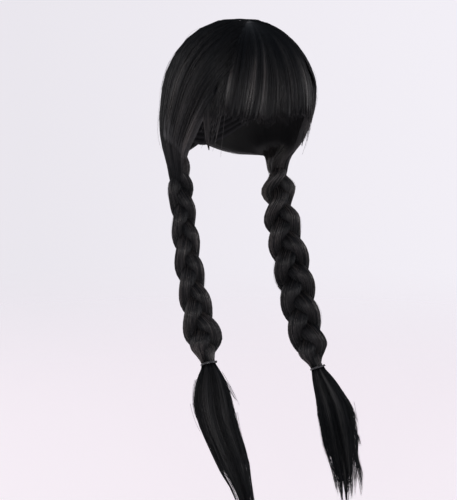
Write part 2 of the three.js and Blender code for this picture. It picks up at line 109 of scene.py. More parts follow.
# Tufts at the tails' edges: start and end as shares of the length, their places there in half widths,
# their depth in half thicknesses, and the number of fibres
frays = {
    "right": [
        (0.08, 0.3, -0.86, -0.97, 0.1, 30), (0.2, 0.38, -0.8, -0.9, -0.1, 36),
        (0.42, 0.62, -0.6, -0.74, 0.1, 36), (0.3, 0.55, 0.78, 0.88, 0.2, 26),
        (0.62, 0.84, 0.45, 0.6, 0, 26), (0.68, 0.98, -0.25, -0.4, 0, 30), (0.7, 1, 0.1, 0.4, 0, 30),
        (0.05, 0.27, 0.8, 1.16, 0.3, 7), (0.03, 0.22, 0.7, 1.1, 0.1, 6),
    ],
    "left": [
        (0.14, 0.38, -0.74, -0.99, 0.2, 44), (0.22, 0.44, -0.74, -1.06, 0.1, 50),
        (0.3, 0.5, -0.76, -1.0, -0.1, 44), (0.4, 0.6, -0.7, -1.0, 0, 44), (0.46, 0.93, -0.5, -1.06, 0, 62),
        (0.6, 0.9, 0.5, 0.66, 0, 30), (0.7, 1, 0.24, 0.4, 0.1, 36), (0.74, 1, -0.05, 0.05, 0, 30),
        (0.66, 0.94, -0.3, -0.36, -0.1, 30),
    ],
}
# Each side sets its braid's painted shine at the top and the end, and its tail's painted light: the right
# tail is painted lighter, the left one near dark.
sides = [
    Sizes(
        name="right", sign=-1, braid_drop=241, braid_lean=83, braid_sway=8,
        facing_top=25, facing_end=75, facing_share=0.31, phase=12.6,
        tail_drop=198, tail_lean=83, tail_sway=-18, tail_half_width=26, tail_half_thickness=15,
        tail_flare=55, tail_ease=2.1, tail_light=0.92, shine_top=0.5, shine_end=1.35, knot_at=60,
    ),
    Sizes(
        name="left", sign=1, braid_drop=263, braid_lean=86, braid_sway=8,
        facing_top=58, facing_end=119, facing_share=0.47, phase=111,
        tail_drop=158, tail_lean=67, tail_sway=13, tail_half_width=25, tail_half_thickness=15,
        tail_flare=55, tail_ease=1.2, tail_light=0.04, shine_top=1.7, shine_end=0.8, knot_at=-62,
    ),
]

UP = np.array([0.0, 0.0, 1.0])
MIDDLE = np.array([0.0, 0.0, -scalp.crown])


def lerp(start, end, share):
    return start + (end - start) * share


def smoothstep(value, start, end):
    share = np.clip((value - start) / (end - start), 0, 1)
    return share * share * (3 - 2 * share)


def unit(vectors):
    return vectors / np.linalg.norm(vectors, axis=-1, keepdims=True)


def grown(egg, amount):
    """An egg that lies outside another one by the same amount all over."""
    return Sizes(**{name: size + amount for name, size in vars(egg).items()})


hair_bed = grown(scalp, cap_wall + clearance + facet_sag)
hair_top = Sizes(
    breadth=hair_bed.breadth + hair.side,
    depth=hair_bed.depth + hair.front,
    crown=hair_bed.crown + hair.crown,
    below=hair.below,
)


def reach(egg, direction):
    """How far an egg's skin lies from the head's middle along unit directions."""
    upright = np.where(direction[..., 2] > 0, egg.crown, egg.below)
    radii = np.stack([egg.breadth + 0 * upright, egg.depth + 0 * upright, upright], -1)
    return 1 / np.linalg.norm(direction / radii, axis=-1)


def toward(egg, azimuth, depth):
    """Unit directions to an egg's points at an azimuth in degrees and a depth below the head's top."""
    turn = np.radians(azimuth)
    height = scalp.crown - depth + 0 * turn
    upright = np.where(height > 0, egg.crown, egg.below)
    level = np.sqrt(np.maximum(0, 1 - (height / upright) ** 2))
    around = level / np.hypot(np.sin(turn) / egg.breadth, np.cos(turn) / egg.depth)
    return unit(np.stack([around * np.sin(turn), -around * np.cos(turn), height], -1))


def along(start, end, share):
    """Directions at a share of the great arc between two directions."""
    angle = np.arccos(np.clip((start * end).sum(-1), -1, 1))
    mixed = start * np.sin((1 - share) * angle)[..., None] + end * np.sin(share * angle)[..., None]
    return unit(mixed)


def table_at(table, key, value, column):
    """A table's column at values of another column, with smooth steps between its rows."""
    places = np.array(table[key], float)
    entries = np.array(table[column], float)
    after = np.clip(np.searchsorted(places, value), 1, len(places) - 1)
    return lerp(entries[after - 1], entries[after], smoothstep(value, places[after - 1], places[after]))


def rounded_edge(share):
    """A rounded thinning toward both ends of a share from 0 to 1."""
    return np.sqrt(np.maximum(0, 1 - (2 * np.clip(share, 0, 1) - 1) ** 8))


def parting_top(offset):
    offset = np.asarray(offset, float)
    top = np.stack([whorl.half_width + offset, 0 * offset - whorl.forward, 0 * offset + scalp.crown], -1)
    return unit(top)


def parting(share):
    """The parting beside the fringe on the left, at a share of its way down."""
    start = parting_top(clearance + 0 * share)
    turn = np.degrees(clearance / scalp.breadth)
    return along(start, toward(hair_top, fringe.half_angle + turn + 0 * share, fringe.drop), share)


def gather_point(across, half):
    """A point of the gather's ring on the left, from its inner half at -1 to its outer half at 1."""
    span = 90 - gather.open_angle
    angle = np.radians(lerp(-span, span, across))
    return np.stack(
        [
            gather.out + half * gather.half_across * np.cos(angle),
            gather.back + gather.half_along * np.sin(angle),
            0 * angle - gather.depth,
        ],
        -1,
    )


def swept_root(across, overlap=0):
    """Where the swept hair of the left side starts, from the temple over the whorl and down the back.
    Overlap carries roots over the back parting's line."""
    front = parting(swept.temple_share * np.clip(1 - across / swept.front_share, 0, 1))
    back_share = np.clip((across - swept.front_share) / (1 - swept.front_share), 0, 1)
    aside = whorl.half_width * (1 - smoothstep(back_share, 0, swept.whorl_share))
    nape = toward(hair_top, 180 + 0 * across, cap_depth + 1)
    back = along(parting_top(-whorl.half_width + 0 * across), nape, back_share)
    back[..., 0] = (aside + clearance - overlap) / scalp.crown
    return np.where((across < swept.front_share)[..., None], front, unit(back))


def swept_point(across, share, lift, sign, overlap=0):
    """A point in the swept hair: share runs from root to gather, lift from the cap to the surface."""
    end = gather_point(across, 2 * lift - 1) - MIDDLE
    length = np.linalg.norm(end, axis=-1)
    direction = along(swept_root(across, overlap), end / length[..., None], share)
    bed = reach(hair_bed, direction)
    rounding = rounded_edge(across) * rounded_edge(0.5 * share + hair.root_round)
    pad = (reach(hair_top, direction) - bed) * lerp(hair.edge, 1, rounding)
    gathered = smoothstep(share, swept.gather_from, 1)
    point = MIDDLE + direction * lerp(bed + lift * pad, length, gathered)[..., None]
    point[..., 0] *= sign
    return point


def fringe_lock_at(across):
    """The length of the fringe lock at a share across the fringe, and the place inside that lock."""
    widths = np.array(fringe_locks["width"])
    edges = np.concatenate([[0], np.cumsum(widths)]) / widths.sum()
    index = np.clip(np.searchsorted(edges, across, side="right") - 1, 0, len(widths) - 1)
    within = (across - edges[index]) / (edges[index + 1] - edges[index])
    return np.array(fringe_locks["length"])[index], within


def fringe_point(across, share, lift, firm=0):
    """A point in the fringe, from its roots to its blunt tips. Firm keeps its sides full."""
    side = 2 * across - 1
    top = parting_top(-clearance + 0 * across)
    top[..., 0] *= side
    tip = toward(hair_top, fringe.half_angle * side, fringe.drop)
    direction = along(unit(top), tip, share)
    bed = reach(hair_bed, direction)
    rounding = np.maximum(rounded_edge(across), firm) * rounded_edge(0.5 * share + hair.root_round)
    combed = (reach(hair_top, direction) - bed) * lerp(hair.edge, 1, rounding)
    thickness = lerp(combed, fringe.tip_thickness, smoothstep(share, fringe.thin_from, 1))
    return MIDDLE + direction * (bed + lift * thickness)[..., None]


class Line:
    """A smooth line through points, read by its share of the length, as the solids' lines are."""

    def __init__(self, points):
        points = np.array(points, float)
        padded = np.vstack([2 * points[0] - points[1], points, 2 * points[-1] - points[-2]])
        steps = np.linspace(0, 1, 60)[:, None]
        parts = [self.stretch(padded[i : i + 4], steps) for i in range(len(points) - 1)]
        self.points = np.vstack([part[:-1] for part in parts] + [parts[-1][-1:]])
        lengths = np.linalg.norm(np.diff(self.points, axis=0), axis=1)
        self.places = np.concatenate([[0], np.cumsum(lengths)])
        self.length = self.places[-1]

    @staticmethod
    def stretch(four, steps):
        """The curve between the middle two of four points."""
        gaps = np.sqrt(np.linalg.norm(np.diff(four, axis=0), axis=1))
        slopes = np.diff(four, axis=0) / gaps[:, None]
        start = slopes[0] - (four[2] - four[0]) / (gaps[0] + gaps[1]) + slopes[1]
        end = slopes[1] - (four[3] - four[1]) / (gaps[1] + gaps[2]) + slopes[2]
        start, end = start * gaps[1], end * gaps[1]
        square = -3 * four[1] + 3 * four[2] - 2 * start - end
        cube = 2 * four[1] - 2 * four[2] + start + end
        return four[1] + start * steps + square * steps**2 + cube * steps**3

    def at(self, share):
        place = np.asarray(share) * self.length
        return np.stack([np.interp(place, self.places, self.points[:, axis]) for axis in range(3)], -1)

    def frame(self, share, facing):
        """Centre, tangent, normal and across directions, where facing 0 looks outward and 90 forward."""
        nudge = 0.004
        tangent = unit(self.at(np.clip(share + nudge, 0, 1)) - self.at(np.clip(share - nudge, 0, 1)))
        turn = np.radians(facing) + 0 * share
        normal = np.stack([np.cos(turn), -np.sin(turn), 0 * turn], -1)
        normal = unit(normal - tangent * (normal * tangent).sum(-1, keepdims=True))
        return self.at(share), tangent, normal, np.cross(tangent, normal)


def braid_line(side):
    course = braid_course
    return Line(
        [
            (gather.out + side.braid_sway * sway, gather.back - side.braid_lean * lean,
             -gather.depth - clearance - side.braid_drop * down)
            for down, lean, sway in zip(course["down"], course["lean"], course[side.name])
        ]
    )


def tail_line(side):
    whole = braid_line(side)
    _, tangent, _, _ = whole.frame(np.array(1.0), 0)
    start = whole.at(1.0) + tangent * clearance
    plug_end = start + tangent * tail_plug
    course = tail_course
    bends = [
        plug_end + np.array([side.tail_sway * sway, -side.tail_lean * lean, -side.tail_drop * down])
        for down, lean, sway in zip(course["down"], course["lean"], course[side.name])
    ]
    return Line([start, *bends])


def mirrored(points, sign):
    points = points.copy()
    points[..., 0] *= sign
    return points


def weave_angle(side, line, strand, share):
    """How far a strand has come round in its weave."""
    turns = share * line.length / braid.pitch + side.phase / 360 + strand / braid.strands
    return FULL_TURN * turns


def outer_angle(side, line, strand, share):
    """The angle round a strand that faces out of the braid."""
    weave = weave_angle(side, line, strand, share)
    return np.arctan2(np.sin(2 * weave), np.sin(weave))


def braid_point(side, line, strand, share, angle, grow):
    """A point on one strand of a braid, at an angle round the strand and a size as a share of its own."""
    facing = lerp(side.facing_top, side.facing_end, smoothstep(share, 0, side.facing_share))
    centre, _, normal, across = line.frame(share, facing)
    size = table_at(braid_form, "down", share, side.name)
    size = size * lerp(braid.top_size, 1, smoothstep(share * line.length, *braid.swelling))
    tied = (0.5 * elastic.bore - clearance) / braid.bulge
    tied_from = line.length - 0.5 * elastic.height - clearance
    narrowing = smoothstep(share * line.length, tied_from - braid.narrowing, tied_from)
    half_width = lerp(braid.half_width * size, tied, narrowing)
    half_thickness = lerp(braid.half_thickness * size, tied, narrowing)
    weave = weave_angle(side, line, strand, share)
    wide = half_width * (braid.swing * np.sin(weave) + grow * np.cos(angle)) / (1 + braid.swing)
    deep = half_thickness * (braid.swing * np.sin(2 * weave) + grow * np.sin(angle)) / (1 + braid.swing)
    return mirrored(centre + across * wide[..., None] + normal * deep[..., None], side.sign)


def tail_section(side, line, share):
    """A tail's middle at a share of its length, with its half width and half thickness as vectors."""
    centre, _, normal, across = line.frame(share, side.facing_end)
    tied = (0.5 * elastic.bore - clearance) / tail_lock.bulge
    free_from = 0.5 * elastic.height + clearance
    opening = np.clip((share * line.length - free_from) / side.tail_flare, 0, 1)
    flared = 1 - (1 - opening) ** side.tail_ease
    size = table_at(tail_form, "down", share, side.name)
    half_width = lerp(tied, side.tail_half_width * size, flared)
    half_thickness = lerp(tied, side.tail_half_thickness * size, flared)
    return centre, across * half_width[..., None], normal * half_thickness[..., None]


def in_tail(side, line, share, wide, deep):
    """A point in a tail's section, at offsets in half widths and half thicknesses."""
    centre, half_width, half_thickness = tail_section(side, line, share)
    return mirrored(centre + half_width * wide[..., None] + half_thickness * deep[..., None], side.sign)


def tail_point(side, line, lock, share, angle, grow):
    """A point in one lock of a tail, at an angle round the lock and a size as a share of its own."""
    wide = np.array(tail_locks["across"])[lock] + tail_lock.half_width * grow * np.cos(angle)
    deep = np.array(tail_locks["through"])[lock] + tail_lock.half_thickness * grow * np.sin(angle)
    return in_tail(side, line, share, wide, deep)


def new_object(name, corners, loops, loop_starts, uv, tones, material):
    """An object from corners in millimetres, faces as runs of corner numbers, and a map for its patterns."""
    mesh = bpy.data.meshes.new(name)
    mesh.vertices.add(len(corners))
    mesh.vertices.foreach_set("co", (corners * METRES).astype(np.float32).ravel())
    mesh.loops.add(len(loops))
    mesh.loops.foreach_set("vertex_index", loops.astype(np.int32))
    mesh.polygons.add(len(loop_starts))
    mesh.polygons.foreach_set("loop_start", loop_starts.astype(np.int32))
    layer = mesh.uv_layers.new(name="OFBake", do_init=False)
    layer.data.foreach_set("uv", uv.astype(np.float32).ravel())
    tone = mesh.attributes.new("tone", "FLOAT", "POINT")
    tone.data.foreach_set("value", tones.astype(np.float32))
    mesh.update(calc_edges=True)
    mesh.validate()
    mesh.shade_smooth()
    mesh.materials.append(material)
    piece = bpy.data.objects.new(name, mesh)
    bpy.context.scene.collection.objects.link(piece)
    return piece


def grid_faces(rows, columns, wraps):
    """Corner numbers of a grid's faces, and each face corner's row and column."""
    across = columns if wraps else columns - 1
    row, column = np.meshgrid(np.arange(rows - 1), np.arange(across), indexing="ij")
    row = np.stack([row, row, row + 1, row + 1], -1).reshape(-1, 4)
    column = np.stack([column, column + 1, column + 1, column], -1).reshape(-1, 4)
    return row * columns + column % columns, row, column


def fibres(name, points, radii, outward, tones, material):
    """Closed three-sided tubes along lines of points, with their flat backs toward the pad below."""
    count, length, _ = points.shape
    tones = np.broadcast_to(tones.reshape(count, -1), (count, length))
    sides_each = 3
    tangent = unit(np.gradient(points, axis=1))
    across = unit(np.cross(tangent, outward))
    normal = np.cross(across, tangent)
    turn = FULL_TURN * np.arange(sides_each) / sides_each
    ring = normal[:, :, None] * np.cos(turn)[:, None] + across[:, :, None] * np.sin(turn)[:, None]
    corners = points[:, :, None] + ring * radii[:, :, None, None]
    faces, row, column = grid_faces(length, sides_each, True)
    first = (np.arange(count) * length * sides_each)[:, None, None]
    walls = (faces[None] + first).reshape(-1, 4)
    start_cap = np.array([0, 2, 1])
    end_cap = (length - 1) * sides_each + np.array([0, 1, 2])
    caps = (np.stack([start_cap, end_cap])[None] + first).reshape(-1, 3)
    loops = np.concatenate([walls.ravel(), caps.ravel()])
    starts = np.concatenate([np.arange(len(walls)) * 4, walls.size + np.arange(len(caps)) * 3])
    lanes, bands = 400, -(-count // 400)
    lane = np.arange(count) % lanes
    band = np.arange(count) // lanes
    u = (lane[:, None, None] + 0.1 + 0.8 * column[None] / sides_each) / lanes
    v = (band[:, None, None] + 0.02 + 0.96 * row[None] / (length - 1)) / bands
    wall_uv = np.stack([u, v], -1).reshape(-1, 2)
    cap_rows = np.stack([np.zeros(3), np.full(3, length - 1.0)])
    cap_u = (lane[:, None, None] + 0.1 + 0.8 * np.array([0, 0.3, 0.6]) + 0 * cap_rows[None]) / lanes
    cap_v = (band[:, None, None] + 0.02 + 0.96 * cap_rows[None] / (length - 1)) / bands
    cap_uv = np.stack([cap_u, cap_v], -1).reshape(-1, 2)
    uv = np.concatenate([wall_uv, cap_uv])
    tones = np.repeat(tones.ravel(), sides_each)
    return new_object(name, corners.reshape(-1, 3), loops, starts, uv, tones, material)


def padded_sheet(name, skin, columns, rows, material):
    """A closed sheet between a lower and an upper skin. Its map holds the two skins side by side."""
    across, share = np.meshgrid(np.linspace(0, 1, columns), np.linspace(0, 1, rows))
    top = skin(across, share, 1)
    bed = skin(across, share, 0)
    corners = np.concatenate([top.reshape(-1, 3), bed.reshape(-1, 3)])
    faces, row, column = grid_faces(rows, columns, False)
    below = (faces + rows * columns)[:, ::-1]
    seam = []
    for index in (0, columns - 1):
        lane = np.arange(rows) * columns + index
        quads = np.stack([lane[:-1], lane[1:], lane[1:] + rows * columns, lane[:-1] + rows * columns], -1)
        seam.append(quads if index == 0 else quads[:, ::-1])
    for index in (0, rows - 1):
        lane = index * columns + np.arange(columns)
        quads = np.stack([lane[1:], lane[:-1], lane[:-1] + rows * columns, lane[1:] + rows * columns], -1)
        seam.append(quads if index == 0 else quads[:, ::-1])
    seam = np.concatenate(seam)
    u = column / (columns - 1)
    v = row / (rows - 1)
    top_uv = np.stack([0.49 * u, v], -1).reshape(-1, 2)
    below_uv = np.stack([0.5 + 0.49 * u, v], -1)[:, ::-1].reshape(-1, 2)
    numbers = seam.ravel() % (rows * columns)
    seam_u = 0.49 * (numbers % columns) / (columns - 1) + 0.5 * (seam.ravel() >= rows * columns)
    seam_uv = np.stack([seam_u, (numbers // columns) / (rows - 1)], -1)
    loops = np.concatenate([faces.ravel(), below.ravel(), seam.ravel()])
    uv = np.concatenate([top_uv, below_uv, seam_uv])
    starts = np.arange(len(loops) // 4) * 4
    return new_object(name, corners, loops, starts, uv, np.full(len(corners), PAD_TONE), material)


def loft(name, loops_of_points, material):
    """A closed solid through equally long rings of points, given as parts x rows x sides."""
    parts, rows, ring, _ = loops_of_points.shape
    faces, row, column = grid_faces(rows, ring, True)
    first = (np.arange(parts) * rows * ring)[:, None, None]
    walls = (faces[None] + first).reshape(-1, 4)
    start_cap = np.arange(ring)[::-1]
    end_cap = (rows - 1) * ring + np.arange(ring)
    caps = (np.stack([start_cap, end_cap])[None] + first).reshape(-1, ring)
    loops = np.concatenate([walls.ravel(), caps.ravel()])
    starts = np.concatenate([np.arange(len(walls)) * 4, walls.size + np.arange(len(caps)) * ring])
    u = (np.arange(parts)[:, None, None] + 0.98 * column[None] / ring) / parts
    v = 0.98 * row[None] / (rows - 1) + 0 * u
    wall_uv = np.stack([u, v], -1).reshape(-1, 2)
    around = FULL_TURN * np.arange(ring) / ring
    disc = 0.009 * np.stack([np.cos(around), np.sin(around)], -1)
    cap_uv = np.tile(np.concatenate([disc[::-1], disc]) + np.array([0.5, 0.99]), (parts, 1))
    uv = np.concatenate([wall_uv, cap_uv])
    corners = loops_of_points.reshape(-1, 3)
    return new_object(name, corners, loops, starts, uv, np.full(len(corners), PAD_TONE), material)


def risen(points, rise):
    """Points moved away from the head's middle by a number of millimetres."""
    away = points - MIDDLE
    return points + unit(away) * rise[..., None]


def noise_walk(draw, count, length, knots, size):
    """Smooth sideways wander for each fibre, as sums of a few slow waves."""
    share = np.linspace(0, 1, length)
    walk = np.zeros((count, length))
    for knot in range(1, knots + 1):
        phase = draw.uniform(0, FULL_TURN, (count, 1))
        walk += draw.normal(0, size / knot, (count, 1)) * np.sin(FULL_TURN * knot * 0.5 * share + phase)
    return walk


def bow(share):
    """Rises from 0 to 1 at the middle of a share and falls back to 0."""
    return np.sin(np.pi * share)


def steps_of(count, points):
    """The share of the way along each of a number of fibres, at evenly spaced points."""
    return np.linspace(0, 1, points)[None] * np.ones((count, 1))


def thinning(share, start, amount):
    """A fibre's thickness, which falls by an amount from a share to the tip."""
    return 1 - amount * smoothstep(share, start, 1)


def ring_grid(side, parts, end, rows, ring):
    """Part numbers, shares up to an end and angles round a ring, turned so that the faces look outward."""
    turn = side.sign * FULL_TURN * np.arange(ring) / ring
    return np.meshgrid(np.arange(parts), np.linspace(0, end, rows), turn, indexing="ij")


# The materials
def principled(name):
    material = bpy.data.materials.new(name)
    material.use_nodes = True
    nodes = material.node_tree.nodes
    return material, nodes, material.node_tree.links, nodes["Principled BSDF"]


def set_inputs(node, **values):
    """Sets a node's sockets, whose names are given with _ for each space."""
    for socket, value in values.items():
        node.inputs[socket.replace("_", " ")].default_value = value


def new_node(nodes, kind, **values):
    node = nodes.new("ShaderNode" + kind)
    set_inputs(node, **values)
    return node


def colour_ramp(nodes, first, last, *between):
    """A ramp through stops, each a place and a colour."""
    ramp = nodes.new("ShaderNodeValToRGB")
    stops = ramp.color_ramp.elements
    for stop, (place, colour) in zip(stops, (first, last)):
        stop.position = place
        stop.color = (*colour, 1)
    for place, colour in between:
        stops.new(place).color = (*colour, 1)
    return ramp


def colour_by(links, value, ramp, shader):
    links.new(value, ramp.inputs["Fac"])
    links.new(ramp.outputs["Color"], shader.inputs["Base Color"])


def relief_by(nodes, links, height, shader, strength, distance):
    relief = new_node(nodes, "Bump", Strength=strength, Distance=distance)
    links.new(height, relief.inputs["Height"])
    links.new(relief.outputs["Normal"], shader.inputs["Normal"])


def map_place(nodes, links, scale):
    """The place in a piece's own map, stretched along its axes."""
    place = nodes.new("ShaderNodeUVMap")
    place.uv_map = "OFBake"
    stretch = new_node(nodes, "Mapping", Scale=scale)
    links.new(place.outputs["UV"], stretch.inputs["Vector"])
    return stretch.outputs["Vector"]


def fibre_material():
    """Single fibres: near black with a soft gloss. Their tone runs from a bluish black to a lighter brown and
    makes them glossier as it grows, and holds both random tone from fibre to fibre and painted light: painted
    highlight streaks and sheen, and painted shade.
    """
    material, nodes, links, shader = principled("hair_fibre")
    tone = nodes.new("ShaderNodeAttribute")
    tone.attribute_name = "tone"
    # The light, browner end of the ramp stands for painted highlight, the bluish dark end also for painted
    # shade.
    dark, middle, light = (0.0018, 0.0024, 0.0034), (0.0085, 0.0078, 0.0082), (0.042, 0.036, 0.034)
    colour_by(links, tone.outputs["Fac"], colour_ramp(nodes, (0, dark), (1, light), (0.55, middle)), shader)
    for name, dull, glossy in (("Roughness", 0.48, 0.3), ("Specular IOR Level", 0.13, 0.55)):
        gloss = new_node(nodes, "MapRange", To_Min=dull, To_Max=glossy)
        links.new(tone.outputs["Fac"], gloss.inputs["Value"])
        links.new(gloss.outputs["Result"], shader.inputs[name])
    return material


def pad_material(name, lanes, bump):
    """Combed hair in the mass: fine streaks along the map's second axis, as colour and relief."""
    material, nodes, links, shader = principled(name)
    streaks = new_node(nodes, "TexNoise", Scale=1, Detail=5, Roughness=0.7)
    links.new(map_place(nodes, links, (lanes, 3, 1)), streaks.inputs["Vector"])
    ramp = colour_ramp(nodes, (0.35, (0.0018, 0.002, 0.0026)), (0.75, (0.009, 0.0085, 0.009)))
    colour_by(links, streaks.outputs["Fac"], ramp, shader)
    relief_by(nodes, links, streaks.outputs["Fac"], shader, bump, 0.0006)
    set_inputs(shader, Roughness=0.5, Specular_IOR_Level=0.2)
    return material


def cap_material():
    """Black net sewn with rows of wefts."""
    material, nodes, links, shader = principled("cap_net")
    rows = new_node(nodes, "TexWave", Scale=9, Distortion=0.15)
    rows.bands_direction = "Y"
    links.new(map_place(nodes, links, (1, 1, 1)), rows.inputs["Vector"])
    net = new_node(nodes, "TexVoronoi", Scale=1)
    net.feature = "DISTANCE_TO_EDGE"
    links.new(map_place(nodes, links, (420, 110, 1)), net.inputs["Vector"])
    ramp = colour_ramp(nodes, (0.45, (0.005, 0.005, 0.006)), (0.85, (0.014, 0.014, 0.016)))
    colour_by(links, rows.outputs["Fac"], ramp, shader)
    total = nodes.new("ShaderNodeMath")
    total.operation = "ADD"
    links.new(rows.outputs["Fac"], total.inputs[0])
    links.new(net.outputs["Distance"], total.inputs[1])
    relief_by(nodes, links, total.outputs["Value"], shader, 0.6, 0.001)
    set_inputs(shader, Roughness=0.8, Specular_IOR_Level=0.15)
    return material


def elastic_material():
    """Clear rubber gone grey over black hair."""
    material, nodes, links, shader = principled("clear_elastic")
    place = nodes.new("ShaderNodeTexCoord")
    cloud = new_node(nodes, "TexNoise", Scale=300)
    links.new(place.outputs["Object"], cloud.inputs["Vector"])
    ramp = colour_ramp(nodes, (0.3, (0.014, 0.015, 0.017)), (0.75, (0.032, 0.032, 0.036)))
    colour_by(links, cloud.outputs["Fac"], ramp, shader)
    set_inputs(shader, Roughness=0.25, Coat_Weight=0.3)
    return material


fibre_look = fibre_material()
swept_look = pad_material("swept_pad", 240, 0.5)
fringe_look = pad_material("fringe_pad", 160, 0.5)
strand_look = pad_material("strand_pad", 150, 0.6)
net_look = cap_material()
rubber_look = elastic_material()


def set_down(piece, slot, *nodes):
    """Ties a finished piece to the frame and hides the solids that it stands for."""
    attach(piece, "root")
    if nodes:
        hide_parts(*nodes)


def lay_fibres(name, points, radii, tones, *nodes, outward=None):
    """Fibres of the wig's hair, which face away from the head's middle unless outward says otherwise."""
    if outward is None:
        outward = unit(points - MIDDLE)
    set_down(fibres(name, points, radii, outward, tones, fibre_look), "hair_fibre", *nodes)


# The pieces. In their tables radii and rises are millimetres, and places and lifts are shares
pad_sink = -0.08
combed_radius = (0.2, 0.34)
light_radius = (0.2, 0.3)
core_steps = Sizes(temple=(30, 10), braid=(150, 18), tail=(40, 12))


def make_cap():
    pole = 0.0003

    def skin(across, share, lift):
        azimuth = 360 * across
        from_front = np.minimum(azimuth, 360 - azimuth)
        rim = toward(scalp, azimuth, cap_depth * table_at(cap_rim, "azimuth", from_front, "depth"))
        direction = along(UP + 0 * rim, rim, np.maximum(share, pole))
        return MIDDLE + direction * (reach(scalp, direction) + lift * cap_wall)[..., None]

    set_down(padded_sheet("cap_net", skin, 97, 41, net_look), "cap_net", "wig_cap")


def clumped(draw, hairs):
    """Places across a sheet for fibres, each with its clump's number, middle and its place in the clump."""
    middles = (np.arange(hairs.clumps) + draw.uniform(0.1, 0.9, hairs.clumps)) / hairs.clumps
    reach_of = draw.uniform(0.6, 1.5, hairs.clumps) * hairs.spread / hairs.clumps
    own = draw.integers(0, hairs.clumps, hairs.count)
    offset = np.clip(draw.normal(0, 0.55, hairs.count), -1.25, 1.25)
    place = np.clip(middles[own] + offset * reach_of[own], 0.001, 0.999)
    return place, own, middles[own], offset


def tufted(draw, own, offset, hairs):
    """How far fibres rise from their sheet: each clump as a round tuft, and each fibre a little alone."""
    tuft = draw.uniform(-0.2, hairs.tuft, hairs.clumps)[own] - hairs.tuft * offset**2
    alone = draw.uniform(*hairs.alone, (hairs.count, 1))
    return tuft[:, None] + alone + noise_walk(draw, hairs.count, hairs.points, 2, hairs.wander)


def painted_streaks(draw, place, streaks):
    """Painted highlight streaks across a sheet at random places: wide dark stretches and a few light streaks
    between them.
    """
    levels = draw.random(streaks) ** 2.5
    return np.interp(place, np.linspace(0, 1, streaks), levels)


def into_braid(side, points, draw):
    """Carries fibres on past the gather's ring, over the top of the braid and into it at many depths."""
    axis = np.array([side.sign * gather.out, gather.back, 0])
    end = points[:, -1]
    fall = draw.uniform(9, 30, len(end))
    sink = draw.uniform(0.3, 0.55, len(end))
    added = []
    for progress in (0.2, 0.4, 0.6, 0.8, 1):
        step = (end - axis) * np.array([1, 1, 0]) * (1.02 - sink * progress**2)[:, None]
        added.append((axis + step + UP * (end[:, 2] - fall * progress)[:, None])[:, None])
    path = np.concatenate([points, *added], axis=1)
    for _ in range(3):
        eased = 0.25 * path[:, 6:-2] + 0.5 * path[:, 7:-1] + 0.25 * path[:, 8:]
        path[:, 7:-1] = eased
    return path


swept_pad = Sizes(top=0.78, nape_top=0.98, nape_from=0.9, gathered=(0.45, 0.55), pinch_from=0.86)
swept_hairs = Sizes(
    count=1250, points=12, clumps=56, spread=1.2, tuft=1.7, alone=(-0.3, 0.3), wander=0.15, lift=0.92,
    overlap=(-0.5, 2.6), inner_share=0.33, leaving=(0.58, 0.88), root_rise=1.1, nape_rise=0.2, streaks=34,
)


def make_swept(side, draw):
    def skin(across, share, lift):
        top = lerp(swept_pad.top, swept_pad.nape_top, smoothstep(across, swept_pad.nape_from, 1))
        pinch = smoothstep(share, swept_pad.pinch_from, 1)
        level = lerp(lerp(pad_sink, top, lift), lerp(*swept_pad.gathered, lift), pinch)
        return swept_point(across, share, level, side.sign)

    node = f"side_hair_{side.name}"
    set_down(padded_sheet(f"swept_pad_{side.name}", skin, 121, 41, swept_look), "hair_fibre", node)

    hairs = swept_hairs
    each = (hairs.count, 1)
    place, own, middle, offset = clumped(draw, hairs)
    share = steps_of(hairs.count, hairs.points)
    pull = smoothstep(share, 0.1, 0.7) * draw.uniform(0, 0.8, hairs.clumps)[own][:, None]
    drift = noise_walk(draw, hairs.clumps, hairs.points, 3, 0.004)[own]
    drift = drift + noise_walk(draw, hairs.count, hairs.points, 3, 0.0016)
    fading = bow(share) ** 0.5
    across = np.clip(lerp(place[:, None], middle[:, None], pull) + drift * fading, 0.0005, 0.9995)
    inner = draw.random(each) < hairs.inner_share
    ring_lift = np.where(inner, 0.85 * draw.random(each) ** 1.7, 1)
    overlap = draw.uniform(*hairs.overlap, each)
    lift = lerp(hairs.lift, ring_lift, smoothstep(share, draw.uniform(*hairs.leaving, each), 1))
    points = swept_point(across, share, lift, side.sign, overlap)
    root_rise = lerp(hairs.root_rise, hairs.nape_rise, smoothstep(place, 0.55, 0.9))[:, None]
    rise = tufted(draw, own, offset, hairs)
    points = into_braid(side, risen(points, rise * fading + (1 - share) * root_rise), draw)

    length = points.shape[1]
    # Tones: painted highlight streaks across the sheet and random tone from fibre to fibre. Along each fibre
    # painted light: painted shade keeps it dark over the top of the head, it is lighter in a band lower down
    # and dark again toward the gather and into the braid.
    tones = 0.15 + 0.85 * painted_streaks(draw, place, hairs.streaks) + draw.uniform(-0.05, 0.25, hairs.count)
    down = np.arange(length) / length
    lower = smoothstep(down, 0.06, 0.4) * (1 - 0.85 * smoothstep(down, 0.42, 0.78))
    tones = tones[:, None] * lerp(0.12, 1, lower[None])
    # Inner fibres are painted lighter near the gather, painted light over the shade that lies there.
    inner_tones_painted_lighter = np.maximum(tones, 0.65 * smoothstep(down, 0.42, 0.58))
    radii = draw.uniform(*combed_radius, each) * np.ones((1, length))
    radii[:, [0, -1]] *= 0.4
    tones = np.clip(np.where(inner, inner_tones_painted_lighter, tones), 0, 1)
    lay_fibres(f"swept_hair_{side.name}", points, radii, tones, node)


fringe_pad = Sizes(length=0.975, notch=0.035, top=0.82)
fringe_hairs = Sizes(
    count=1150, points=12, clumps=34, spread=1.2, tuft=1.5, alone=(-0.22, 0.15), wander=0.1, lift=0.9,
    firm=0.85, notch=0.03, sideways=0.045, sideways_at=0.3, sideways_over=0.14, root_rise=1.1,
    streaks=36, starts=24,
)


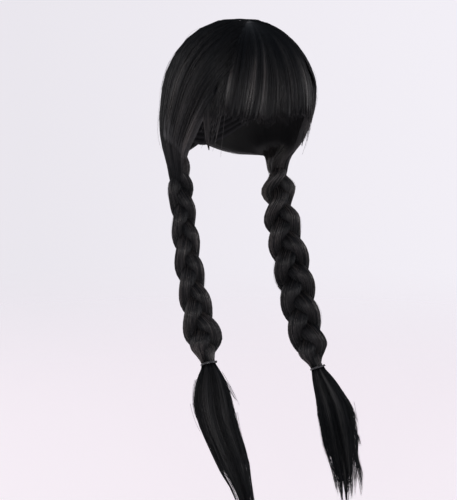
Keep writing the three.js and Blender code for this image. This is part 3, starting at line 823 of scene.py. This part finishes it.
def make_fringe(draw):
    def skin(across, share, lift):
        length, within = fringe_lock_at(across)
        notch = fringe_pad.notch * np.abs(2 * within - 1) ** 3
        level = fringe_pad.top * lift + pad_sink + 0 * across
        return fringe_point(across, share * (length - notch) * fringe_pad.length, level)

    set_down(padded_sheet("fringe_pad", skin, 163, 27, fringe_look), "hair_fibre", "fringe")

    hairs = fringe_hairs
    place, own, middle, offset = clumped(draw, hairs)
    share = steps_of(hairs.count, hairs.points)
    pull = smoothstep(share, 0.3, 1) * draw.uniform(0.1, 0.85, hairs.clumps)[own][:, None]
    drift = noise_walk(draw, hairs.clumps, hairs.points, 2, 0.005)[own]
    drift = (drift + noise_walk(draw, hairs.count, hairs.points, 3, 0.0025)) * share
    from_middle = 2 * place[:, None] - 1
    covering = 0.025 * bow(share) * np.sign(from_middle) * (np.abs(from_middle) > 0.9)
    bunch = np.exp(-(((place[:, None] - hairs.sideways_at) / hairs.sideways_over) ** 2))
    across = lerp(place[:, None], middle[:, None], pull) + drift + covering
    across = across - hairs.sideways * share**3 * bunch
    lock_length, within = fringe_lock_at(place)
    own_length = lock_length - hairs.notch * np.abs(2 * within - 1) ** 3
    own_length += draw.normal(0, 0.01, hairs.clumps)[own]
    own_length += np.minimum(draw.normal(0, 0.014, hairs.count), 0.015)
    points = fringe_point(across, share * own_length[:, None], hairs.lift + 0 * share, hairs.firm)
    rise = tufted(draw, own, offset, hairs)
    points = risen(points, rise * smoothstep(share, 0.1, 0.55) + hairs.root_rise * (1 - share))

    # Tones: painted highlight streaks across the fringe and random tone from fibre to fibre. Each painted
    # streak begins at its own height, so painted shade keeps the top of the fringe dark, and the fibres
    # darken toward the tips.
    tones = 0.14 + 0.85 * painted_streaks(draw, place, hairs.streaks) + draw.uniform(-0.06, 0.08, hairs.count)
    start = np.interp(place, np.linspace(0, 1, hairs.starts), draw.random(hairs.starts))[:, None]
    painted_streak_begins = lerp(0.24, 0.5, start)
    painted_streak = smoothstep(share, painted_streak_begins, painted_streak_begins + 0.25) * (1 - 0.5 * smoothstep(share, 0.72, 1))
    radii = draw.uniform(*combed_radius, (hairs.count, 1)) * thinning(share, 0.86, 0.75)
    lay_fibres("fringe_hair", points, radii, np.clip(tones[:, None] * lerp(0.16, 1, painted_streak), 0, 1), "fringe")


def make_parting_cover(side, draw):
    """Hair that crosses each parting from the fringe onto the swept hair and hides the line."""
    count = 330
    share = steps_of(count, 10)
    start_share = draw.uniform(0.02, 0.62, count)
    start = fringe_point(draw.uniform(0.88, 0.97, count), start_share, 1 + 0 * start_share) - MIDDLE
    parting_share = np.clip(start_share / swept.temple_share, 0, 1)
    target_across = swept.front_share * (1 - parting_share) * draw.uniform(0.6, 0.95, count)
    target = swept_point(target_across, draw.uniform(0.16, 0.34, count), 1 + 0 * start_share, 1) - MIDDLE
    direction = along(unit(start)[:, None], unit(target)[:, None], share**1.2)
    height = reach(hair_top, direction) + 0.5 + draw.uniform(-1.2, 0.5, (count, 1))
    height = height - 2.6 * (1 - bow(lerp(0.12, 0.88, share)) ** 0.5) - 1.2 * share**2
    points = mirrored(MIDDLE + direction * height[..., None], side.sign)
    radii = draw.uniform(*light_radius, (count, 1)) * (0.3 + 0.7 * bow(share) ** 0.5)
    tones = lerp(0.2, 0.6, start_share) * draw.random(count)
    lay_fibres(f"parting_hair_{side.name}", points, radii, tones)


def make_veil(side, draw):
    """Hair that falls from the fringe's edge over the open corner between the fringe and the swept hair."""
    count, length = 210, 10
    share = steps_of(count, length)
    start_share = draw.uniform(0.4, 0.66, count)
    start = fringe_point(draw.uniform(0.9, 0.985, count), start_share, 0.8 + 0 * start_share) - MIDDLE
    aside = draw.uniform(0, 1, count)
    end = toward(hair_top, lerp(48, 60, aside), lerp(112, 94, aside) + draw.normal(0, 3.5, count))
    direction = along(unit(start)[:, None], end[:, None], share)
    start_height = np.linalg.norm(start, axis=-1)[:, None] - reach(hair_bed, unit(start))[:, None]
    lift = lerp(start_height, draw.uniform(1.5, 5.5, (count, 1)), smoothstep(share, 0, 1))
    lift = lift + 0.8 * bow(share) + noise_walk(draw, count, length, 2, 0.15)
    points = mirrored(MIDDLE + direction * (reach(hair_bed, direction) + lift)[..., None], side.sign)
    radii = draw.uniform(0.2, 0.32, (count, 1)) * (0.3 + 0.7 * bow(lerp(0.05, 0.95, share)) ** 0.5)
    tones = 0.05 + draw.uniform(0, 0.55, (count, 1)) * smoothstep(share, 0, 0.4)
    lay_fibres(f"veil_hair_{side.name}", points, radii, tones)


def temple_point(side, share, wide, deep):
    """A point of the lock at a temple, with offsets in half widths and half thicknesses."""
    inside = np.clip(share, 0, 1)
    rise = np.interp(share, temple_rise["share"], temple_rise["rise"])
    depth = table_at(temple_course, "share", inside, "depth") + 0.4 * np.minimum(share, 0)
    behind = table_at(temple_course, "share", inside, "behind") - 0.3 * rise
    direction = toward(hair_bed, fringe.half_angle + behind, temple.drop * depth)
    thickness = 0.5 * temple.thickness * table_at(temple_course, "share", inside, "thickness")
    width = 0.5 * temple.width * table_at(temple_course, "share", inside, "width")
    outward = unit(direction * np.array([1, 1, 0]))
    across = np.cross(outward, -UP)
    centre = MIDDLE + direction * (reach(hair_bed, direction) + thickness + rise)[..., None]
    point = centre + across * (width * wide)[..., None] + outward * (thickness * deep)[..., None]
    return mirrored(point, side.sign)


temple_core = Sizes(end=0.93, width=0.75, thickness=0.7)
temple_hairs = Sizes(count=190, points=16, root=-0.6, ends=(0.7, 1.08), radius=(0.16, 0.28), fall=30)


def make_temple_lock(side, draw):
    _, share, turn = ring_grid(side, 1, temple_core.end, *core_steps.temple)
    body = temple_point(side, share, temple_core.width * np.cos(turn), temple_core.thickness * np.sin(turn))
    node = f"side_lock_{side.name}"
    set_down(loft(f"temple_core_{side.name}", body, strand_look), "hair_fibre", node)

    hairs = temple_hairs
    each = (hairs.count, 1)
    share = np.linspace(hairs.root, draw.uniform(*hairs.ends, hairs.count), hairs.points).T
    angle = draw.uniform(0, FULL_TURN, each)
    ray = np.sqrt(draw.uniform(0.2, 1.1, each))
    sway = noise_walk(draw, hairs.count, hairs.points, 2, 0.12) * smoothstep(share, hairs.root, 1)
    points = temple_point(side, share, ray * np.cos(angle) + sway, ray * np.sin(angle))
    points[..., 2] -= hairs.fall * np.maximum(share - 1, 0)
    radii = draw.uniform(*hairs.radius, each) * thinning(share, 0.8, 0.7)
    tones = draw.uniform(0.2, 0.85, each) * lerp(0.2, 1, smoothstep(share, 0, 0.5))
    lay_fibres(f"temple_hair_{side.name}", points, radii, tones, node)


braid_core = Sizes(size=0.955, top_size=0.72, top_share=0.09)
braid_hairs = Sizes(count=1850, points=10, span=(0.4, 0.62), lanes=26, half_fan=115, shortest=4)


def make_braid(side, draw):
    def drawn_in(share):
        return lerp(braid_core.top_size, 1, smoothstep(share, 0, braid_core.top_share))

    line = braid_line(side)
    strand, share, turn = ring_grid(side, braid.strands, 1, *core_steps.braid)
    body = braid_point(side, line, strand, share, turn, braid_core.size * drawn_in(share))
    node = f"braid_{side.name}"
    set_down(loft(f"braid_core_{side.name}", body, strand_look), "hair_fibre", node)

    hairs = braid_hairs
    each = (hairs.count, 1)
    strand = draw.integers(0, braid.strands, each)
    span = draw.uniform(*hairs.span, each) * braid.pitch / line.length
    middle = draw.uniform(-0.02, 1.02, each)
    spread = np.linspace(0, 1, hairs.points)[None]
    share = np.clip(middle + span * (spread - 0.5), 0, 1) + 1e-5 * spread
    outer = outer_angle(side, line, strand, middle)
    angle = outer + np.radians(hairs.half_fan) * draw.uniform(-1, 1, each)
    lane = np.round(angle / FULL_TURN * hairs.lanes) / hairs.lanes * FULL_TURN
    angle = lerp(angle, lane, draw.uniform(0, 0.8, each))
    angle = angle + noise_walk(draw, hairs.count, hairs.points, 2, 0.05)
    grow = 0.985 + 0.012 * np.cos(hairs.lanes * angle) + draw.uniform(-0.02, 0.022, each)
    grow = (grow - 0.06 * (1 - bow(spread)) ** 2) * drawn_in(share)
    points = braid_point(side, line, strand, share, angle, grow)
    centre = braid_point(side, line, strand, share, angle, 0 * grow)
    kept = np.linalg.norm(np.diff(points, axis=1), axis=2).sum(1) > hairs.shortest
    # Painted highlight: fibres are lighter at the middle of each lobe, where the strand faces out, and this
    # painted shine changes along the braid as each side sets it.
    lobe = 0.5 + 0.5 * np.cos(angle - outer)
    painted_shine = 1.9 * (0.25 + draw.beta(2, 3, each)) * lobe**3 * bow(spread) ** 2
    painted_shine = painted_shine * lerp(side.shine_top, side.shine_end, smoothstep(share, 0, 0.7))
    tones = np.clip(painted_shine + 0.1 * np.sin(7 * angle[:, :1]) ** 2 - 0.05, 0, 1)
    radii = draw.uniform(*combed_radius, each) * (0.25 + 0.75 * bow(spread) ** 0.5)
    name = f"braid_hair_{side.name}"
    lay_fibres(name, points[kept], radii[kept], tones[kept], node, outward=unit(points - centre)[kept])


winding = Sizes(thread=0.34, winds=4, steps=150, ring=8, knot_out=1.2, knot=(1.5, 1.1, 0.5))


def make_elastic(side):
    """A thin rubber thread wound round the braid's end, with a small knot in front."""
    centre, tangent, normal, across = braid_line(side).frame(np.array(1.0), side.facing_end)
    thread, steps, ring = winding.thread, winding.steps, winding.ring
    turn = np.linspace(0, FULL_TURN * winding.winds, steps)
    height = np.linspace(-0.5, 0.5, steps) * (elastic.height - 4 * thread) + 0.2 * np.sin(1.7 * turn)
    radius = 0.5 * elastic.bore + thread * (0.4 + 0.4 * np.sin(2.3 * turn))
    axis = centre + tangent * height[:, None]
    wound = axis + normal * (radius * np.cos(turn))[:, None] + across * (radius * np.sin(turn))[:, None]
    loop = np.linspace(0, FULL_TURN, steps)[:, None]
    knot_turn = np.radians(side.knot_at)
    knot_out = normal * np.cos(knot_turn) + across * np.sin(knot_turn)
    knot_centre = centre + knot_out * (0.5 * elastic.bore + winding.knot_out)
    wide, high, deep = winding.knot
    knot = knot_centre + np.cross(tangent, knot_out) * (wide * np.sin(loop))
    knot = knot + tangent * (high * np.sin(2 * loop)) + knot_out * (deep * np.cos(3 * loop))
    around = FULL_TURN * np.arange(ring)[:, None] / ring
    bodies = []
    for path, heart in ((wound, axis), (knot, knot_centre - 6 * knot_out + 0 * knot)):
        course = unit(np.gradient(path, axis=0))
        outward = unit(path - heart)
        outward = unit(outward - course * (outward * course).sum(-1, keepdims=True))
        beside = np.cross(course, outward)
        skin = outward[:, None] * np.cos(around) + beside[:, None] * np.sin(around)
        bodies.append(path[:, None] + thread * skin)
    body = mirrored(np.stack(bodies), side.sign)
    if side.sign < 0:
        body = body[:, :, ::-1]
    set_down(loft(f"band_{side.name}", body, rubber_look), "clear_elastic", f"elastic_{side.name}")


tail_core = Sizes(length=0.9, size=0.8, tip=0.08)
tail_hairs = Sizes(count=100, points=14, bundles=9, radius=(0.18, 0.3), tip=0.12, taper=0.95)
tail_cover = Sizes(count=280, ends=(0.62, 0.93), ray=(0.84, 0.97), depth=0.92, radius=(0.16, 0.28))


def tail_lock_hairs(side, draw, line, lock):
    """The lines of one lock's fibres in a tail, their radii and their tones, which carry the tail's painted
    light.
    """
    hairs = tail_hairs
    each = (hairs.count, 1)
    lock_length = tail_locks["length"][lock]
    progress = steps_of(hairs.count, hairs.points) ** 1.3
    own = draw.integers(0, hairs.bundles, hairs.count)
    bundle_length = draw.uniform(0.8, 1.0, hairs.bundles)[own][:, None]
    own_length = lock_length * np.minimum(bundle_length * draw.uniform(0.84, 1.06, each), 1.04)
    share = np.minimum(own_length * progress, 1)
    taper = np.maximum(hairs.tip, 1 - hairs.taper * (share / lock_length) ** 2.3)
    bundle_angle = draw.uniform(0, FULL_TURN, hairs.bundles)[own][:, None]
    angle = bundle_angle + draw.normal(0, 0.35, each) + noise_walk(draw, hairs.count, hairs.points, 2, 0.07)
    ray = np.sqrt(draw.uniform(0.35, 0.98, each))
    stray = 0.1 * noise_walk(draw, hairs.count, hairs.points, 3, 1) * smoothstep(progress, 0.5, 1)
    bundle_stray = noise_walk(draw, hairs.bundles, hairs.points, 2, 1)[own] * smoothstep(progress, 0.55, 1)
    grow = np.maximum(ray * taper + stray + 0.22 * bundle_stray, 0.02)
    points = tail_point(side, line, lock, share, angle, grow)
    radii = draw.uniform(*hairs.radius, each) * thinning(progress, 0.8, 0.75)
    # Painted light: a few lighter bundles as painted highlight streaks, scaled by the side's painted light,
    # and darker toward the tips.
    light = side.tail_light * ((draw.random(hairs.bundles) ** 3)[own] + 0.3 * draw.random(hairs.count) - 0.15)
    return points, radii, np.clip(light[:, None] * (1 - 0.8 * smoothstep(share, 0.45, 0.8)), 0, 1)


def tail_cover_hairs(side, draw, line):
    """The lines of fibres that close a tail's skin over its locks, their radii and their tones, which carry
    the tail's painted light.
    """
    hairs = tail_cover
    each = (hairs.count, 1)
    progress = steps_of(hairs.count, tail_hairs.points) ** 1.2
    share = progress * draw.uniform(*hairs.ends, each)
    angle = draw.uniform(0, FULL_TURN, each) + noise_walk(draw, hairs.count, tail_hairs.points, 2, 0.12)
    ray = draw.uniform(*hairs.ray, each) * (1 - 0.3 * smoothstep(share, 0.45, 0.95))
    points = in_tail(side, line, share, ray * np.cos(angle), hairs.depth * ray * np.sin(angle))
    radii = draw.uniform(*hairs.radius, each) * thinning(progress, 0.8, 0.75)
    # Painted light, scaled by the side's painted light: lighter on one side of the tail and darker toward the
    # tips.
    light = 0.8 * side.tail_light * draw.random(each) ** 2.5 * (0.6 - 0.4 * np.cos(angle))
    return points, radii, np.clip(light * (1 - 0.8 * smoothstep(share, 0.4, 0.8)), 0, 1)


def make_tail(side, draw):
    line = tail_line(side)
    locks = len(tail_locks["length"])
    lock, progress, turn = ring_grid(side, locks, 1, *core_steps.tail)
    share = tail_core.length * np.array(tail_locks["length"])[lock] * progress
    taper = np.maximum(tail_core.tip, 1 - progress**3) * tail_core.size
    body = tail_point(side, line, lock, share, turn, taper)
    set_down(loft(f"tail_core_{side.name}", body, strand_look), "hair_fibre", f"tail_{side.name}")

    families = [tail_lock_hairs(side, draw, line, index) for index in range(locks)]
    families.append(tail_cover_hairs(side, draw, line))
    points, radii, tones = (np.concatenate(column) for column in zip(*families))
    centre = mirrored(line.at(np.linspace(0, 1, tail_hairs.points)), side.sign)
    outward = unit(points - centre[None] + 0.001)
    lay_fibres(f"tail_hair_{side.name}", points, radii, tones, f"tail_{side.name}", outward=outward)


def make_frays(side, draw):
    """Tufts that leave the tail's outline and end in points, and the spikes of its tip."""
    line = tail_line(side)
    length = 12
    points, radii = [], []
    progress = np.linspace(0, 1, length)[None]
    for start, end, start_wide, end_wide, depth, count in frays[side.name]:
        own_end = end - (end - start) * draw.uniform(0, 0.35, (count, 1))
        share = np.minimum(start + (own_end - start) * progress, 1)
        spread = draw.normal(0, 1, (count, 1)) * (0.13 - 0.1 * progress)
        wide = lerp(start_wide, end_wide, progress**1.4) + spread + noise_walk(draw, count, length, 2, 0.015)
        deep = depth + draw.normal(0, 1, (count, 1)) * (0.22 - 0.15 * progress)
        points.append(in_tail(side, line, share, wide, deep))
        radii.append(draw.uniform(0.15, 0.26, (count, 1)) * thinning(progress, 0.75, 0.7))
    points = np.concatenate(points)
    outward = unit(points - mirrored(line.at(0.5), side.sign))
    tones = 0.15 * draw.random(len(points))
    lay_fibres(f"fray_hair_{side.name}", points, np.concatenate(radii), tones, outward=outward)


stray_hairs = Sizes(points=16, sheet=110, wisps=22, loops=60, radius=(0.09, 0.15), wisp_thickness=1.5)


def make_strays(side, draw):
    """Thin single hairs that stand off the combed sheet and the braid, and wisps beside the fringe."""
    length = stray_hairs.points
    each = (stray_hairs.sheet, 1)
    along_hair = np.linspace(0, 1, length)
    share = draw.uniform(0.05, 0.35, each) + draw.uniform(0.3, 0.6, each) * along_hair
    across = draw.uniform(0.01, 0.99, each) + noise_walk(draw, stray_hairs.sheet, length, 2, 0.012)
    swell = bow(along_hair) ** 1.5 * draw.uniform(0.5, 4.5, each)
    root = swept_point(np.clip(across, 0.001, 0.999), np.minimum(share, 1), 0.97 + 0 * share, side.sign)
    sheet = risen(root, swell)

    each = (stray_hairs.wisps, 1)
    azimuth = draw.uniform(38, 49, each) + along_hair**1.5 * draw.uniform(4, 16, each)
    depth = draw.uniform(78, 96, each) + along_hair * draw.uniform(20, 62, each)
    direction = toward(hair_bed, azimuth, depth)
    lifted = reach(hair_bed, direction) + fringe.tip_thickness + draw.uniform(-0.5, 2.5, each)
    wisps = mirrored(MIDDLE + direction * lifted[..., None], side.sign)

    line = braid_line(side)
    each = (stray_hairs.loops, 1)
    strand = draw.integers(0, braid.strands, each)
    middle = draw.uniform(0.05, 0.93, each)
    place = middle + 0.22 * draw.uniform(0.5, 1, each) * (along_hair - 0.5)
    angle = outer_angle(side, line, strand, middle) + draw.uniform(-1.2, 1.2, each)
    angle = angle + noise_walk(draw, stray_hairs.loops, length, 2, 0.08)
    grow = 0.96 + bow(along_hair) ** 1.3 * draw.uniform(0.04, 0.22, each)
    loops = braid_point(side, line, strand, np.clip(place, 0, 1), angle, grow)

    points = np.concatenate([sheet, wisps, loops])
    thick = np.repeat([1, stray_hairs.wisp_thickness, 1], [len(sheet), len(wisps), len(loops)])[:, None]
    taper = bow(np.linspace(0.06, 0.94, length)) ** 0.4
    radii = draw.uniform(*stray_hairs.radius, (len(points), 1)) * thick * taper[None]
    lay_fibres(f"stray_hair_{side.name}", points, radii, draw.uniform(0.2, 0.9, len(points)))


# The camera, the light and the floor, in metres and degrees
photo_view = Sizes(
    azimuth=-30, elevation=8.2, distance=1.9, lens=108, sensor=36, target=(-0.01152, 0.00665, -0.278),
)
lights = [
    Sizes(
        name="key", place=(-1.3, -2.2, -0.1), target=(0, 0, -0.32), size=(1.2, 0.7), power=23,
        colour=(1, 0.98, 0.97),
    ),
    Sizes(
        name="fill", place=(1.9, -1.4, -0.25), target=(0, 0, -0.3), size=(1.2, 0.8), power=11,
        colour=(0.97, 0.98, 1),
    ),
    Sizes(
        name="rim", place=(-1.8, 1.3, 0.3), target=(0, 0, -0.25), size=(1.0, 1.4), power=7,
        colour=(1, 1, 1),
    ),
]
stage = Sizes(radius=2.6, height=-0.66, rings=12, sides=96, fade=(0.9, 2.5))


def make_camera():
    data = bpy.data.cameras.new("photo_camera")
    data.sensor_width = photo_view.sensor
    data.lens = photo_view.lens
    camera = bpy.data.objects.new("photo_camera", data)
    bpy.context.scene.collection.objects.link(camera)
    azimuth, elevation = np.radians(photo_view.azimuth), np.radians(photo_view.elevation)
    level = np.cos(elevation)
    back = np.array([np.sin(azimuth) * level, -np.cos(azimuth) * level, np.sin(elevation)])
    camera.location = Vector(np.array(photo_view.target) + photo_view.distance * back)
    camera.rotation_euler = Vector(back).to_track_quat("Z", "Y").to_euler()
    bpy.context.scene.camera = camera


def make_light(lamp):
    data = bpy.data.lights.new(lamp.name, "AREA")
    data.shape = "RECTANGLE"
    data.size, data.size_y = lamp.size
    data.energy = lamp.power
    data.color = lamp.colour
    light = bpy.data.objects.new(lamp.name, data)
    light.location = lamp.place
    light.rotation_euler = (Vector(lamp.place) - Vector(lamp.target)).to_track_quat("Z", "Y").to_euler()
    bpy.context.scene.collection.objects.link(light)


def make_world():
    """A pale room that is bright round the horizon and dim overhead."""
    world = bpy.data.worlds.new("studio")
    bpy.context.scene.world = world
    world.use_nodes = True
    nodes, links = world.node_tree.nodes, world.node_tree.links
    direction = nodes.new("ShaderNodeTexCoord")
    split = nodes.new("ShaderNodeSeparateXYZ")
    links.new(direction.outputs["Generated"], split.inputs["Vector"])
    ramp = colour_ramp(nodes, (0.12, (0.84, 0.815, 0.87)), (0.75, (0.3, 0.33, 0.385)))
    links.new(split.outputs["Z"], ramp.inputs["Fac"])
    links.new(ramp.outputs["Color"], nodes["Background"].inputs["Color"])
    sideways = new_node(nodes, "MapRange", From_Min=0.38, From_Max=0.62, To_Min=0.98, To_Max=1.06)
    links.new(split.outputs["X"], sideways.inputs["Value"])
    links.new(sideways.outputs["Result"], nodes["Background"].inputs["Strength"])


def floor_material():
    material, nodes, links, shader = principled("floor")
    set_inputs(shader, Base_Color=(0.85, 0.79, 0.8, 1), Roughness=0.9, Specular_IOR_Level=0)
    set_inputs(shader, Emission_Color=(0.92, 0.83, 0.86, 1), Emission_Strength=0.5)
    place = nodes.new("ShaderNodeTexCoord")
    distance = nodes.new("ShaderNodeVectorMath")
    distance.operation = "LENGTH"
    links.new(place.outputs["Object"], distance.inputs[0])
    near, far = stage.fade
    fade = new_node(nodes, "MapRange", From_Min=near, From_Max=far, To_Min=1, To_Max=0)
    fade.interpolation_type = "SMOOTHSTEP"
    links.new(distance.outputs["Value"], fade.inputs["Value"])
    links.new(fade.outputs["Result"], shader.inputs["Alpha"])
    return material


def make_floor():
    """A pale round floor that fades out into the room."""
    angles = FULL_TURN * np.arange(stage.sides) / stage.sides
    radii = stage.radius * np.arange(1, stage.rings + 1) / stage.rings
    angle, radius = np.meshgrid(angles, radii)
    corners = np.stack([radius * np.cos(angle), radius * np.sin(angle), stage.height + 0 * angle], -1)
    faces, _, _ = grid_faces(stage.rings, stage.sides, True)
    fan = [(0, 1 + index, 1 + (index + 1) % stage.sides) for index in range(stage.sides)]
    mesh = bpy.data.meshes.new("floor")
    around = (faces[:, ::-1] + 1).tolist()
    mesh.from_pydata([(0, 0, stage.height), *corners.reshape(-1, 3).tolist()], [], fan + around)
    floor = bpy.data.objects.new("floor", mesh)
    bpy.context.scene.collection.objects.link(floor)
    mesh.materials.append(floor_material())


bpy.context.scene.view_settings.view_transform = "Standard"
make_camera()
make_world()
make_floor()
for lamp in lights:
    make_light(lamp)

draw = np.random.default_rng(7)
make_cap()
make_fringe(draw)
for side in sides:
    make_swept(side, draw)
    make_temple_lock(side, draw)
    make_braid(side, draw)
    make_elastic(side)
    make_tail(side, draw)
    make_frays(side, draw)
    make_parting_cover(side, draw)
    make_veil(side, draw)
    make_strays(side, draw)
